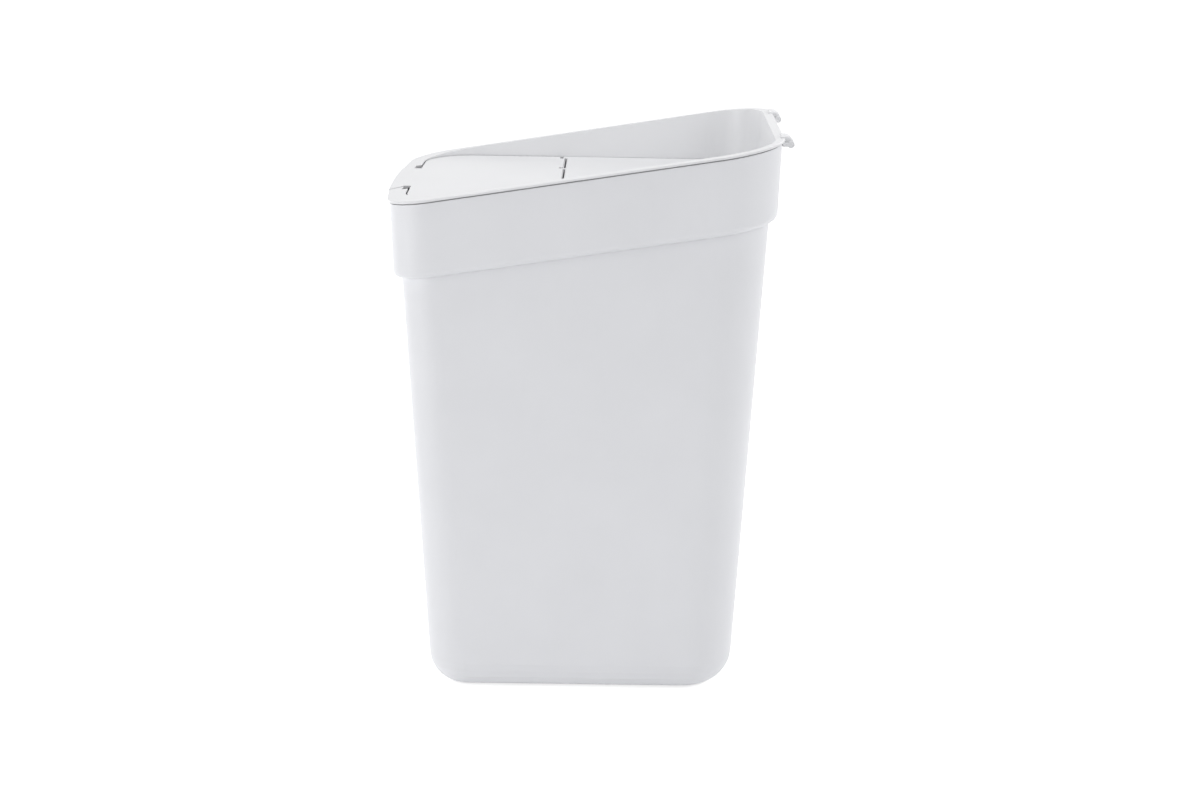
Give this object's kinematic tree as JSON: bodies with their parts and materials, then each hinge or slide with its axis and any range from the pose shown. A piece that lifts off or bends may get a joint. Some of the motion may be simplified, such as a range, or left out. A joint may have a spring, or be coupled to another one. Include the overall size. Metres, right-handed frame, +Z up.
{
  "type": "waste bin",
  "caption": "Free-standing or rail-hung household waste bin with a sloping rim, a lift-off lid frame and a recessed lid whose front half hinges open.",
  "frame": {"origin": "centre of the footprint box on the floor, hooks included", "axes": "-Y is the low front edge with the finger tab, +Y the high rear edge with the hooks, +Z is up, and +X is on the right of someone who faces the front edge"},
  "size_m": [0.2782, 0.3516, 0.503],
  "materials": {
    "white_plastic": "satin moulded polypropylene",
    "steel": "drawn wire"
  },
  "bodies": {
    "bin": {"bin_body": "white_plastic"},
    "lid_unit": {"rim_frame": "white_plastic", "rear_panel": "white_plastic", "hinge_rod": "steel"},
    "flap": {"front_flap": "white_plastic"}
  },
  "joints": [
    {"name": "lid_lift", "type": "slide", "parent": "bin", "child": "lid_unit", "axis": [0, 0, 1], "range_m": [0, 0.1]},
    {"name": "flap_hinge", "type": "hinge", "parent": "lid_unit", "child": "flap", "pos_m": [0, -0.027, 0.4466], "axis": [-1, 0, 0], "range_deg": [0, 90]}
  ]
}
